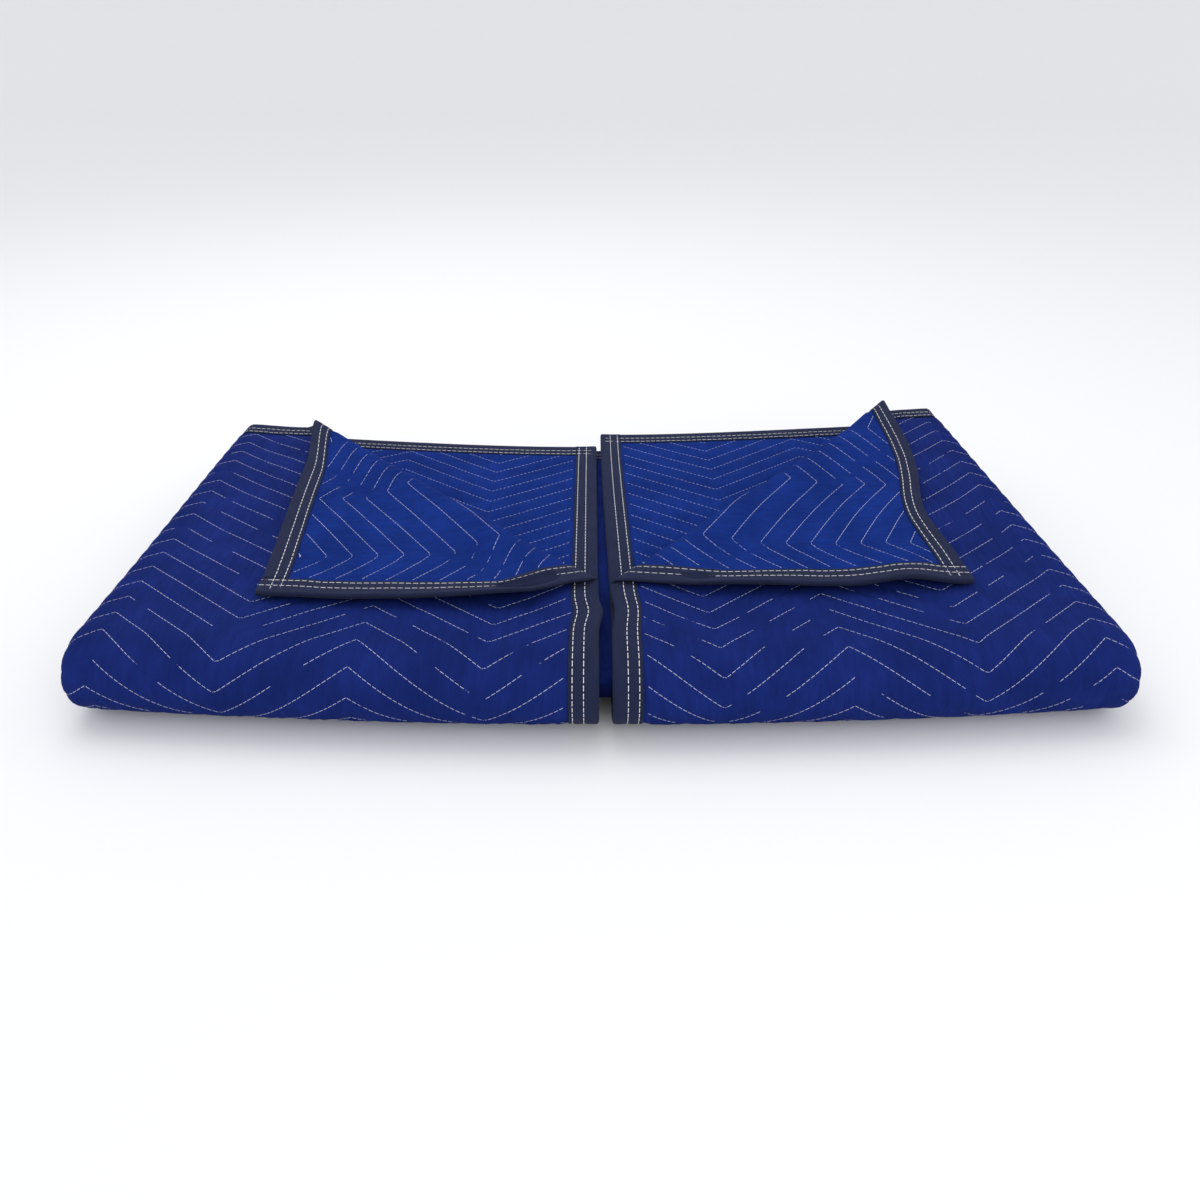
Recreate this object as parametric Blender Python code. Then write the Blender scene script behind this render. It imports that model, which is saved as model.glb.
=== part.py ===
# A quilted moving blanket, 72 by 80 inches, folded into a bundle of eight layers.
# The flat blanket is modelled first: u runs across it, v along it and w through it.
# Its sides are then brought to the middle, its ends together, and it is folded over once more,
# with the two inner corners of the top layer turned back.
# Metres, +Z up, standing on Z = 0, front roll towards -Y.
import math

import bmesh
import bpy
from mathutils import Vector

INCH = 0.0254

# The flat blanket.
WIDTH = 72 * INCH
LENGTH = 80 * INCH
CLOTH_HALF = 0.0029          # half the thickness of the plain cloth
ROW_HALF = 0.0022            # half the thickness along a quilted row
CREST_HALF = 0.0033          # half the thickness between two rows
EDGE_HALF = 0.0015           # half the thickness pressed inside the binding

# The binding tape, folded round each edge and sewn through.
TAPE_WIDTH = 1 * INCH
TAPE_HALF = 0.0026           # from the cloth's middle to the tape's outer face
TAPE_THICK = 0.0008
FIT = 0.0003                 # clearance between touching pieces
EDGE_PLAY = 0.0012           # room between the tape's fold and the cloth's cut edge
EDGE_BULGE = 0.008           # the cloth swells to full thickness over this width

# The quilting: zigzag rows across the blanket.
ROW_PITCH = 0.0247
ZIG_HALF = 0.1095            # from one point of the zigzag to the next
ZIG_RISE = 0.0747            # from its low points to its high points
OUTER = {                    # from a side edge to the first point, and from the end to a row
    -1: {"point": 0.093, "row": 0.0179},
    1: {"point": 0.093, "row": 0.0060},
}
INNER = {                    # the same at the other end, which lies inside
    -1: {"point": 0.118, "row": 0.0158},
    1: {"point": 0.128, "row": 0.0185},
}

# The folded stack.
PITCH = 0.0092               # from one layer to the next
SIDE_RADIUS = 1.5 * PITCH    # the outer layer's turn at the bundle's sides
NOSE = 1.35                  # how much longer than high the front roll is
ROLL_RADIUS = 3.5 * PITCH * (1 + NOSE) / 2
SEAM_BACK = 0.005            # gap between the two bound sides, at the back and at the front
SEAM_FRONT = 0.011
SEAM_REACH = 0.2             # the cloth beside the seam that gives way to it
MIDDLE = 3.5 * PITCH + CLOTH_HALF
TOP = 2 * MIDDLE

# The turned-back corners, measured from the corner along the end and along the side, and how
# far each has slipped outwards and forwards on the layer below.
CORNERS = {
    -1: {"along_end": 0.368, "along_side": 0.331, "out": -0.010, "forward": 0.014, "wave": 0.002},
    1: {"along_end": 0.380, "along_side": 0.347, "out": 0.008, "forward": 0.0, "wave": 0.003},
}
CREASE_RADIUS = 0.007
FLAP_REST = 0.0082           # height of a settled corner's middle above the layer's
FLAP_SETTLE = 0.10
WAVE_PLACE = 0.055           # from the tip along its side edge to the middle of its wave
WAVE_LENGTH = 0.035
WAVE_DEPTH = 0.07

# How unevenly the bundle lies.
BOW = 0.022                  # the middle stands this far in front of the two sides
LEFT_RISE = 0.14             # the back corners of the top lie higher than its front
RIGHT_RISE = 0.38
REACH = 0.006                # the right one lies a little further back, and drawn in
DRAW_IN = 0.022
LOOSE_FROM = 0.05            # from the middle to where the looseness begins on the left
DRAWN_FROM = 0.28
SEAM_LEAN = 0.004            # the seam runs a little to the right towards the front
SHORT_TOP = 0.022            # the upper half ends this far short of the blanket's middle
END_SHIFT = {                # how far back each end lies, at its side's turn and at the seam
    "outer": {-1: {"turn": 0.0, "seam": 0.0}, 1: {"turn": 0.006, "seam": 0.012}},
    "inner": {-1: {"turn": -0.002, "seam": -0.008}, 1: {"turn": 0.000, "seam": 0.030}},
}

HALF = LENGTH / 2
TURN = math.pi * PITCH / 4   # half the cloth taken by the first fold
SEAM_MEAN = (SEAM_BACK + SEAM_FRONT) / 2
SIDE_START = (WIDTH / 2 - math.pi * SIDE_RADIUS + SEAM_MEAN / 2) / 2
SIDE_END = SIDE_START + math.pi * SIDE_RADIUS
ROLL_START = (HALF - TURN + PITCH / 2 + CLOTH_HALF - math.pi * ROLL_RADIUS) / 2 - SHORT_TOP
ROLL_END = ROLL_START + math.pi * ROLL_RADIUS
HALF_WIDTH = SIDE_START + SIDE_RADIUS + CLOTH_HALF
FRONT = -ROLL_START / 2 + NOSE * (3.5 * PITCH + CLOTH_HALF) / 2
CUT_WIDTH = WIDTH - 2 * (TAPE_THICK + EDGE_PLAY)
CUT_LENGTH = LENGTH - 2 * (TAPE_THICK + EDGE_PLAY)

# Lines beside the binding, where the cloth leaves it and where it is full again.
EDGE_LINES = (TAPE_WIDTH + FIT, TAPE_WIDTH + FIT + EDGE_BULGE)

# Where the quilting is raised: on the outside of the top half, and inside its turned corners.
QUILTED = {
    "outer": {"start": EDGE_LINES[1], "end": ROLL_START + 0.48 * math.pi * ROLL_RADIUS,
              "near": EDGE_LINES[1], "far": WIDTH / 2 - SIDE_END, "slant": 0.0},
    "inner": {"start": EDGE_LINES[1], "end": 0.38,
              "near": EDGE_LINES[1], "far": WIDTH / 2 - SIDE_END, "slant": 0.84},
}

# How closely the solids follow the folds.
SIDE_STEPS = 5
ROLL_STEPS = 8
TURN_STEPS = 4
CREASE_STEPS = 5
TAPE_STEP = 0.026            # spacing of the cuts along a turned-back edge
CREASE_SPAN = 0.065          # length of edge that the crease itself takes
TOP_SHARES = (0.25, 0.5, 0.83)

BLUE = (0.009, 0.024, 0.180, 1.0)
NAVY = (0.015, 0.020, 0.045, 1.0)


def smooth(x):
    """Ease from 0 to 1."""
    x = min(max(x, 0.0), 1.0)
    return x * x * (3 - 2 * x)


def zigzag(across, first_point):
    """Height of a row at a distance from the side edge, highest at its first point."""
    phase = abs((across - first_point) / ZIG_HALF) % 2.0
    return ZIG_RISE * (0.5 - (phase if phase <= 1.0 else 2.0 - phase))


def end_shift(end, u, v):
    """How far back the cloth lies at a place, all of it at the end and none at the middle."""
    lie = END_SHIFT[end][1 if u >= 0 else -1]
    if abs(u) < SIDE_END:
        shift = lie["turn"] * abs(u) / SIDE_END
    else:
        share = (abs(u) - SIDE_END) / (WIDTH / 2 - SIDE_END)
        shift = lie["turn"] + (lie["seam"] - lie["turn"]) * share
    return shift * abs(v - HALF) / HALF


def first_fold(u, v, w):
    """Fold the two ends together with the pale side inside."""
    if v <= HALF - TURN:
        return v - end_shift("outer", u, v), 0.5 * PITCH + w
    if v >= HALF + TURN:
        return LENGTH - v - end_shift("inner", u, v), 1.5 * PITCH - w
    angle = (v - HALF + TURN) / (PITCH / 2)
    radius = PITCH / 2 - w
    return HALF - TURN + radius * math.sin(angle), PITCH - radius * math.cos(angle)


def side_fold(across, along, height):
    """Bring a side over to the middle; returns the distance from the middle and the height."""
    if across <= SIDE_START:
        return across, height
    radius = 2 * PITCH - height
    if across < SIDE_END:
        angle = (across - SIDE_START) / SIDE_RADIUS
        return SIDE_START + radius * math.sin(angle), 2 * PITCH - radius * math.cos(angle)
    from_edge = WIDTH / 2 - across
    gap = SEAM_BACK + (SEAM_FRONT - SEAM_BACK) * smooth(along / ROLL_START)
    shift = (gap - SEAM_MEAN) / 2 * smooth(1 - from_edge / SEAM_REACH)
    return from_edge + SEAM_MEAN / 2 + shift, 4 * PITCH - height


def corner_fold(side, x, along, height, from_edge, from_end):
    """Turn the inner corner of the top layer back over a diagonal crease."""
    corner = CORNERS[side]
    span = math.hypot(corner["along_end"], corner["along_side"])
    normal_x = corner["along_side"] / span
    normal_y = corner["along_end"] / span
    crease = corner["along_end"] * corner["along_side"] / span
    past = crease - normal_x * from_edge - normal_y * from_end
    if past <= 0:
        return x, along, height
    layer = 3.5 * PITCH
    offset = height - layer
    turn = math.pi * CREASE_RADIUS
    if past < turn:
        angle = past / CREASE_RADIUS
        radius = CREASE_RADIUS - offset
        beyond = radius * math.sin(angle)
        lift = CREASE_RADIUS - radius * math.cos(angle)
    else:
        beyond = turn - past
        settled = smooth((past - turn) / FLAP_SETTLE)
        lift = 2 * CREASE_RADIUS - offset - (2 * CREASE_RADIUS - FLAP_REST) * settled
        x += corner["out"] * settled
        along += corner["forward"] * settled
        hump = math.exp(-((from_end - WAVE_PLACE) / WAVE_LENGTH) ** 2 - from_edge / WAVE_DEPTH)
        lift += corner["wave"] * hump * settled
    move = past - beyond
    return x + normal_x * move, along + normal_y * move, layer + lift


def roll_fold(along, height):
    """Fold the stack over its front roll; returns Y and Z."""
    if along <= ROLL_START:
        return FRONT + ROLL_START - along, MIDDLE + height
    if along < ROLL_END:
        angle = (along - ROLL_START) / ROLL_RADIUS
        return FRONT - NOSE * height * math.sin(angle), MIDDLE + height * math.cos(angle)
    return FRONT + along - ROLL_END, MIDDLE - height


def unevenness(x, y, z):
    """Bow the bundle forward in the middle and loosen its back corners."""
    back = smooth((y - FRONT) / ROLL_START)
    right = back * smooth((x + LOOSE_FROM) / (HALF_WIDTH + LOOSE_FROM))
    left = back * smooth((-x - LOOSE_FROM) / (HALF_WIDTH - LOOSE_FROM))
    outer = back * smooth((x - DRAWN_FROM) / (HALF_WIDTH - DRAWN_FROM))
    bow = BOW * (1 - (x / HALF_WIDTH) ** 2)
    lift = (RIGHT_RISE * right + LEFT_RISE * left) * min(z / TOP, 1.0) ** 2
    return Vector((x - DRAW_IN * outer, y - bow + BOW / 2 + REACH * right, z * (1 + lift)))


def fold(u, v, w):
    """Carry a point of the flat blanket into the folded bundle."""
    side = 1 if u >= 0 else -1
    from_edge = WIDTH / 2 - abs(u)
    along, height = first_fold(u, v, w)
    x, height = side_fold(abs(u), along, height)
    lean = SEAM_LEAN * smooth(along / ROLL_START) * smooth(1 - from_edge / SEAM_REACH)
    if abs(u) > SIDE_END and v < ROLL_START:
        x, along, height = corner_fold(side, x, along, height, from_edge, v)
    y, z = roll_fold(along, height)
    return unevenness(side * x + lean, y, z)


def cut(bm, point, normal, geom=None):
    """Cut edges into a solid along a plane; returns what was cut."""
    if geom is None:
        geom = bm.verts[:] + bm.edges[:] + bm.faces[:]
    result = bmesh.ops.bisect_plane(
        bm, geom=geom, dist=1e-6, plane_co=point, plane_no=normal)
    return result["geom"]


def cut_across(bm, places):
    """Cut lines of constant u."""
    for u in places:
        cut(bm, (u, 0, 0), (1, 0, 0))


def cut_along(bm, places):
    """Cut lines of constant v."""
    for v in places:
        cut(bm, (0, v, 0), (0, 1, 0))


def side_lines():
    """Places across the blanket where its sides turn over."""
    step = (SIDE_END - SIDE_START) / SIDE_STEPS
    turns = [SIDE_START + step * i for i in range(SIDE_STEPS + 1)]
    return [side * u for side in (-1, 1) for u in turns]


def fold_lines():
    """Places along the blanket where it rolls over the front and where it folds in half."""
    step = (ROLL_END - ROLL_START) / ROLL_STEPS
    rolls = [ROLL_START + step * i for i in range(ROLL_STEPS + 1)]
    turns = [HALF - TURN + 2 * TURN * i / TURN_STEPS for i in range(TURN_STEPS + 1)]
    return rolls + [LENGTH - v for v in rolls] + turns


def flat_lines():
    """Places between the folds, close enough for the bundle's uneven lie."""
    tops = [ROLL_START * share for share in TOP_SHARES]
    unders = [ROLL_END + (HALF - TURN - ROLL_END) * i / 3 for i in range(1, 3)]
    half = tops + unders
    return half + [LENGTH - v for v in half]


def turned_lines(reach):
    """Places along an edge, close together where its corner lies turned back and settles."""
    return [TAPE_STEP * i for i in range(1, int((reach - CREASE_SPAN) / TAPE_STEP) + 1)]


def cut_creases(bm):
    """Cut the lines over which the corners turn back, next to the near end only."""
    for side, corner in CORNERS.items():
        span = math.hypot(corner["along_end"], corner["along_side"])
        normal = (side * corner["along_side"] / span, -corner["along_end"] / span, 0)
        crease = corner["along_end"] * corner["along_side"] / span
        for i in range(CREASE_STEPS + 1):
            past = math.pi * CREASE_RADIUS * i / CREASE_STEPS
            reach = (crease - past) / (corner["along_end"] / span)
            cut(bm, (side * WIDTH / 2, reach, 0), normal)


def faces_within(bm, low, high):
    """The faces whose centres lie in a rectangle of the flat blanket, with their edges."""
    chosen = []
    for face in bm.faces:
        centre = face.calc_center_median()
        if low[0] < centre.x < high[0] and low[1] < centre.y < high[1]:
            chosen.append(face)
    edges = dict.fromkeys(edge for face in chosen for edge in face.edges)
    verts = dict.fromkeys(vert for face in chosen for vert in face.verts)
    return list(verts) + list(edges) + chosen


def zig_places(first_point, low, high):
    """Distances from the side edge of a zigzag's points, with the two ends of the zone."""
    count = int(WIDTH / ZIG_HALF)
    points = [first_point + ZIG_HALF * i for i in range(-1, count)]
    return [low] + [p for p in points if low < p < high] + [high]


def point_lines(rows):
    """Places across the blanket of a zigzag's points, on its two sides."""
    lines = []
    for side in (-1, 1):
        places = zig_places(rows[side]["point"], EDGE_LINES[1], WIDTH / 2 - SIDE_END)
        lines += [side * (WIDTH / 2 - place) for place in places[1:-1]]
    return lines


def cut_points(bm, rows, start, end):
    """Cut the lines of the zigzag's points into one half of the cloth."""
    for u in point_lines(rows):
        ends = sorted((0, math.copysign(WIDTH / 2, u)))
        strip = faces_within(bm, (ends[0], start), (ends[1], end))
        cut(bm, (u, 0, 0), (1, 0, 0), strip)


def cut_rows(bm, side, zone, rows, to_v):
    """Cut the quilted rows, and the crest between each two, into one zone of the cloth."""
    first_point = rows[side]["point"]
    places = zig_places(first_point, zone["near"], zone["far"])
    for near, far in zip(places, places[1:]):
        low, high = to_v(zone["start"]), to_v(zone["end"] - zone["slant"] * near)
        bottom, top = min(low, high), max(low, high)
        ends = sorted((side * (WIDTH / 2 - near), side * (WIDTH / 2 - far)))
        geom = faces_within(bm, (ends[0], bottom), (ends[1], top))
        rise = [zigzag(near + 1e-7, first_point), zigzag(far - 1e-7, first_point)]
        first = int((zone["start"] - ZIG_RISE) / (ROW_PITCH / 2))
        last = int((zone["end"] + ZIG_RISE) / (ROW_PITCH / 2)) + 1
        for line in range(first, last + 1):
            start = rows[side]["row"] + line * ROW_PITCH / 2
            a = Vector((side * (WIDTH / 2 - near), to_v(start + rise[0]), 0))
            b = Vector((side * (WIDTH / 2 - far), to_v(start + rise[1]), 0))
            geom = cut(bm, a, (b - a).cross(Vector((0, 0, 1))), geom)


def row_half(along, across, zone, rows):
    """Half the cloth's thickness in a zone, thinnest on a quilted row and fullest midway."""
    if not zone["start"] <= along <= zone["end"] + 1e-6 or across > zone["far"] + 1e-6:
        return CLOTH_HALF
    place = (along - rows["row"] - zigzag(across, rows["point"])) / ROW_PITCH % 1.0
    return ROW_HALF + (CREST_HALF - ROW_HALF) * (1 - abs(2 * place - 1))


def cloth_half(u, v):
    """Half the cloth's thickness at a place: thin in the binding, swelling between rows."""
    side = 1 if u >= 0 else -1
    across = WIDTH / 2 - abs(u)
    if v < HALF:
        plain = row_half(v, across, QUILTED["outer"], OUTER[side])
    else:
        plain = row_half(LENGTH - v, across, QUILTED["inner"], INNER[side])
    inset = min(across, v, LENGTH - v)
    swell = smooth((inset - TAPE_WIDTH - FIT) / EDGE_BULGE)
    return EDGE_HALF + (plain - EDGE_HALF) * swell


def split_quads(bm):
    """Split four-sided faces on the diagonal that their neighbours on other pieces use."""
    for face in bm.faces[:]:
        if len(face.verts) != 4:
            continue
        corners = face.verts[:]
        rank = [corner.co.x + corner.co.y + 3 * corner.co.z for corner in corners]
        low, high = rank.index(min(rank)), rank.index(max(rank))
        if abs(high - low) == 2:
            bmesh.utils.face_split(face, corners[low], corners[high])


def fold_solid(bm):
    """Fold a flat solid that already has the lines its folds need.

    The flat blanket's ends lie behind once it is folded, which turns the solid's faces round.
    """
    split_quads(bm)
    bmesh.ops.triangulate(bm, faces=bm.faces)
    bmesh.ops.recalc_face_normals(bm, faces=bm.faces)
    for vert in bm.verts:
        vert.co = fold(vert.co.x, vert.co.y, vert.co.z)
    bmesh.ops.reverse_faces(bm, faces=bm.faces)


def material(name, colour, roughness):
    made = bpy.data.materials.new(name)
    made.use_nodes = True
    shader = made.node_tree.nodes["Principled BSDF"]
    shader.inputs["Base Color"].default_value = colour
    shader.inputs["Roughness"].default_value = roughness
    shader.inputs["Metallic"].default_value = 0.0
    return made


def keep(name, bm, finish):
    """Make a finished solid an object of the scene."""
    mesh = bpy.data.meshes.new(name)
    bm.to_mesh(mesh)
    bm.free()
    mesh.shade_smooth()
    mesh.set_sharp_from_angle(angle=math.radians(50))
    mesh.materials.append(finish)
    made = bpy.data.objects.new(name, mesh)
    bpy.context.scene.collection.objects.link(made)
    return made


def cut_turned_edges(bm):
    """Cut the cloth's turned-back edges where the binding on them is cut."""
    for side, corner in CORNERS.items():
        edge = side * WIDTH / 2
        for v in turned_lines(corner["along_side"]):
            inner = side * (WIDTH / 2 - EDGE_LINES[1])
            strip = faces_within(bm, (min(edge, inner), 0), (max(edge, inner), HALF))
            cut(bm, (0, v, 0), (0, 1, 0), strip)
        for across in turned_lines(corner["along_end"]):
            strip = faces_within(bm, (min(edge, 0), 0), (max(edge, 0), EDGE_LINES[1]))
            cut(bm, (side * (WIDTH / 2 - across), 0, 0), (1, 0, 0), strip)


def quilt(finish):
    """The quilted cloth itself: two faces of cloth and the padding between, as one slab."""
    bm = bmesh.new()
    bmesh.ops.create_cube(bm, size=1.0)
    bmesh.ops.scale(bm, vec=(CUT_WIDTH, CUT_LENGTH, 1.0), verts=bm.verts)
    bmesh.ops.translate(bm, vec=(0, LENGTH / 2, 0), verts=bm.verts)
    centre_lines = [SIDE_START * i / 4 for i in range(-3, 4)]
    edge_lines = [side * (WIDTH / 2 - inset) for side in (-1, 1) for inset in EDGE_LINES]
    cut_across(bm, side_lines() + centre_lines + edge_lines)
    cut_along(bm, fold_lines() + flat_lines())
    cut_along(bm, [v for inset in EDGE_LINES for v in (inset, LENGTH - inset)])
    cut(bm, (0, QUILTED["outer"]["end"], 0), (0, 1, 0))
    cut_points(bm, OUTER, 0, HALF)
    cut_points(bm, INNER, HALF, LENGTH)
    cut_turned_edges(bm)
    for side in (-1, 1):
        cut_rows(bm, side, QUILTED["outer"], OUTER, lambda s: s)
        cut_rows(bm, side, QUILTED["inner"], INNER, lambda s: LENGTH - s)
    cut_creases(bm)
    for vert in bm.verts:
        half = cloth_half(vert.co.x, vert.co.y)
        vert.co.z = math.copysign(half, vert.co.z)
    fold_solid(bm)
    return keep("quilt", bm, finish)


def tape(name, start, end, to_flat, lines, finish):
    """A strip of binding tape folded round an edge, before and after the blanket is folded."""
    outer = TAPE_HALF
    inner = TAPE_HALF - TAPE_THICK
    profile = [
        (TAPE_WIDTH, outer), (0.0, outer), (0.0, -outer), (TAPE_WIDTH, -outer),
        (TAPE_WIDTH, -inner), (TAPE_THICK, -inner), (TAPE_THICK, inner), (TAPE_WIDTH, inner)]
    bm = bmesh.new()
    corners = [bm.verts.new(to_flat(inset, start, w)) for inset, w in profile]
    cap = bm.faces.new(corners)
    strip = bmesh.ops.extrude_face_region(bm, geom=[cap])
    far = [item for item in strip["geom"] if isinstance(item, bmesh.types.BMVert)]
    shift = Vector(to_flat(0, end, 0)) - Vector(to_flat(0, start, 0))
    bmesh.ops.translate(bm, vec=shift, verts=far)
    lines(bm)
    cut_creases(bm)
    fold_solid(bm)
    return keep(name, bm, finish)


def bindings(finish):
    """Four strips: the side strips run the full length, the end strips fit between them."""
    across = side_lines() + [SIDE_START * i / 4 for i in range(-3, 4)]
    for name, side in (("binding_left", -1), ("binding_right", 1)):
        turned = turned_lines(CORNERS[side]["along_side"])
        along = fold_lines() + flat_lines() + [QUILTED["outer"]["end"]]
        tape(name, 0.0, LENGTH,
             lambda inset, v, w, side=side: (side * (WIDTH / 2 - inset), v, w),
             lambda bm: cut_along(bm, along + turned), finish)
    reach = WIDTH / 2 - TAPE_WIDTH - FIT
    turned = [side * (WIDTH / 2 - place) for side, corner in CORNERS.items()
              for place in turned_lines(corner["along_end"])]
    tape("binding_outer_end", -reach, reach, lambda inset, u, w: (u, inset, w),
         lambda bm: cut_across(bm, across + point_lines(OUTER) + turned), finish)
    tape("binding_inner_end", -reach, reach, lambda inset, u, w: (u, LENGTH - inset, w),
         lambda bm: cut_across(bm, across + point_lines(INNER)), finish)


def centre_bundle():
    """Move the pieces so that their common box is centred over the origin, on Z = 0."""
    meshes = [made.data for made in bpy.data.objects if made.type == "MESH"]
    points = [vert.co for mesh in meshes for vert in mesh.vertices]
    low = Vector([min(point[i] for point in points) for i in range(3)])
    high = Vector([max(point[i] for point in points) for i in range(3)])
    middle = (low + high) / 2
    for mesh in meshes:
        for vert in mesh.vertices:
            vert.co -= Vector((middle.x, middle.y, low.z))


for old in list(bpy.data.objects):
    bpy.data.objects.remove(old)

quilt(material("quilted cloth", BLUE, 0.85))
bindings(material("binding tape", NAVY, 0.8))
centre_bundle()
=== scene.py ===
import math
import bmesh
import bpy
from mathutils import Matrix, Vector, noise


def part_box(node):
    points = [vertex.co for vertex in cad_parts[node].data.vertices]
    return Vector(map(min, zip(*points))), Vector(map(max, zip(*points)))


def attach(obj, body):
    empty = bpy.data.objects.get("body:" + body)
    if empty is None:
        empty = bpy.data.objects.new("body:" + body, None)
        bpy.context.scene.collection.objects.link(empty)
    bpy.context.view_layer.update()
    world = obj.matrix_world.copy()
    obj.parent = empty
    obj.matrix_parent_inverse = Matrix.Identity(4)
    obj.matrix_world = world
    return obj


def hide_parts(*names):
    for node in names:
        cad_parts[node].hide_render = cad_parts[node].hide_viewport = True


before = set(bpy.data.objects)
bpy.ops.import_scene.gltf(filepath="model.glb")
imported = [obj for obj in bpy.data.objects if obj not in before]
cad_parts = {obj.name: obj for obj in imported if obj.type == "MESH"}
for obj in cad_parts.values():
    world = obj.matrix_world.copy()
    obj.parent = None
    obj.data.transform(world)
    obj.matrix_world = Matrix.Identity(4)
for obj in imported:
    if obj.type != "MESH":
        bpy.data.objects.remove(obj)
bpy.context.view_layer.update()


# The quilted cloth: two faces of non-woven cotton and polyester, dark on the outside and a
# brighter blue on the inside, with felted padding between them. A multi-needle machine sews the
# three together in zigzag rows an inch apart, and the cloth swells up between the rows.
INCH = 0.0254
WIDTH = 72 * INCH
LENGTH = 80 * INCH
HALF = LENGTH / 2
CLOTH_HALF = 0.0029          # half the thickness that the folds are laid out for
ROW_HALF = 0.0023            # half the thickness on a sewn row
CREST_HALF = 0.0032          # and midway between two rows
EDGE_HALF = 0.0015           # and pressed inside the binding
TAPE_WIDTH = 1 * INCH
EDGE_BULGE = 0.008           # over which the cloth swells up again beside the binding
CUT_BACK = 0.002             # the cloth ends this far inside the binding's fold

ROW_PITCH = 0.0247           # measured along the blanket
ZIG_HALF = 0.1095            # from one point of the zigzag to the next, across the blanket
ZIG_RISE = 0.0747            # and how far along it
# The zigzag's first point from the side edge, and its first row from the end, on each half.
OUTER = {-1: {"point": 0.093, "row": 0.0179}, 1: {"point": 0.093, "row": 0.0060}}
INNER = {-1: {"point": 0.118, "row": 0.0158}, 1: {"point": 0.128, "row": 0.0185}}
DRAWN = {-1: 0.031, 1: 0.037}      # the zigzag runs nearer to the side edges at this end
DRAWN_ALONG = 0.45           # and back in its own place this far from the end
DRAWN_FADE = 0.06            # less so this near to the side edge
DRAWN_WIDTH = 0.26           # as far in as this
DRAWN_EASE = 0.16            # and over this length comes to nothing
ROWS_CHANGE = 0.12           # the outer half's rows give way to the inner half's over this length
STRAIGHT_MIDDLE = 0.1        # the rows are taken as straight this near the middle of the blanket

# How the blanket is folded: sides to the middle, ends together, then once more over a roll.
PITCH = 0.0092               # from one layer to the next
SIDE_RADIUS = 1.5 * PITCH
NOSE = 1.35                  # the front roll's depth, as a share of half its height
ROLL_RADIUS = 3.5 * PITCH * (1 + NOSE) / 2
SEAM_BACK = 0.005            # the gap between the two side edges, at the ends
SEAM_FRONT = 0.011           # and at the front roll
SEAM_REACH = 0.2             # the cloth shifts sideways as far out as this to leave it
MIDDLE = 3.5 * PITCH + CLOTH_HALF
TOP = 2 * MIDDLE
SHORT_TOP = 0.022            # the upper half lies this much short of the lower one
TURN = math.pi * PITCH / 4   # half the length that the first fold takes up
SEAM_MEAN = (SEAM_BACK + SEAM_FRONT) / 2
SIDE_START = (WIDTH / 2 - math.pi * SIDE_RADIUS + SEAM_MEAN / 2) / 2
SIDE_END = SIDE_START + math.pi * SIDE_RADIUS
ROLL_START = (HALF - TURN + PITCH / 2 + CLOTH_HALF - math.pi * ROLL_RADIUS) / 2 - SHORT_TOP
ROLL_END = ROLL_START + math.pi * ROLL_RADIUS
HALF_WIDTH = SIDE_START + SIDE_RADIUS + CLOTH_HALF
FRONT = -ROLL_START / 2 + NOSE * (3.5 * PITCH + CLOTH_HALF) / 2

# The two corners turned back, and how far each has slipped outwards and forwards.
CORNERS = {
    -1: {"along_end": 0.368, "along_side": 0.331, "out": -0.010, "forward": 0.025},
    1: {"along_end": 0.380, "along_side": 0.347, "out": 0.008, "forward": 0.008},
}
CREASE_RADIUS = 0.007
FLAP_REST = 0.0082           # a turned corner's height over the layer that it lies on
FLAP_SETTLE = 0.05           # come down to this far beyond its crease

# Waves in each turned corner's side edge: place along it from the tip, length, how far in from
# the edge each is felt, and lift.
EDGE_WAVES = {
    -1: ((0.035, 0.030, 0.06, 0.002), (0.12, 0.09, 0.03, 0.005), (0.26, 0.08, 0.03, 0.016)),
    1: ((0.060, 0.036, 0.06, 0.008), (0.18, 0.09, 0.03, 0.007), (0.27, 0.05, 0.025, 0.004)),
}
SWING = {-1: 0.055, 1: 0.025}      # each corner is swung forwards about its tip
SAG = {-1: 0.012, 1: 0.010}        # its side edge bows forwards
SAG_WIDTH = 0.15
END_BOW = {-1: 0.0, 1: -0.018}     # its end edge bows inwards
END_BOW_FROM = 0.12                # most of all this far from the side edge
END_BOW_LENGTH = 0.07
END_BOW_WIDTH = 0.15
PRESSED = {-1: 0.4, 1: 0.5}        # the share of its lift that is pressed out beside the seam
PRESSED_WIDTH = 0.14
PRESSED_PAST = 0.12
# Waves in the side edges along the seam: place, length and how far out.
SEAM_WAVES = {-1: ((0.380, 0.016, -0.004),), 1: ((0.385, 0.02, 0.003),)}
SEAM_WAVE_REACH = 0.07

# How unevenly the bundle lies.
BOW = 0.022                  # the middle of the front stands this far forward
LEFT_RISE = 0.14             # the back corners rise by these shares of the height
RIGHT_RISE = 0.38
REACH = 0.006                # the back right corner also lies further back
DRAW_IN = 0.022              # and further in
LOOSE_FROM = 0.05
DRAWN_FROM = 0.28
SEAM_LEAN = 0.004            # the seam runs a little to the right towards the front
END_SHIFT = {
    "outer": {-1: {"turn": 0.0, "seam": 0.0}, 1: {"turn": 0.006, "seam": 0.012}},
    "inner": {-1: {"turn": -0.002, "seam": -0.008}, 1: {"turn": 0.000, "seam": 0.030}},
}
RIPPLE = 0.0016              # soft hollows and swells in the top layer
RIPPLE_EASE = 0.04
# Its swells: how many to a metre across and along, a seed and a share.
SWELLS = ((9.0, 13.0, 3.7, 1.0), (31.0, 38.0, 9.1, 0.35))


def smooth(x):
    """A soft step from 0 to 1."""
    x = min(max(x, 0.0), 1.0)
    return x * x * (3 - 2 * x)


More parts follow.
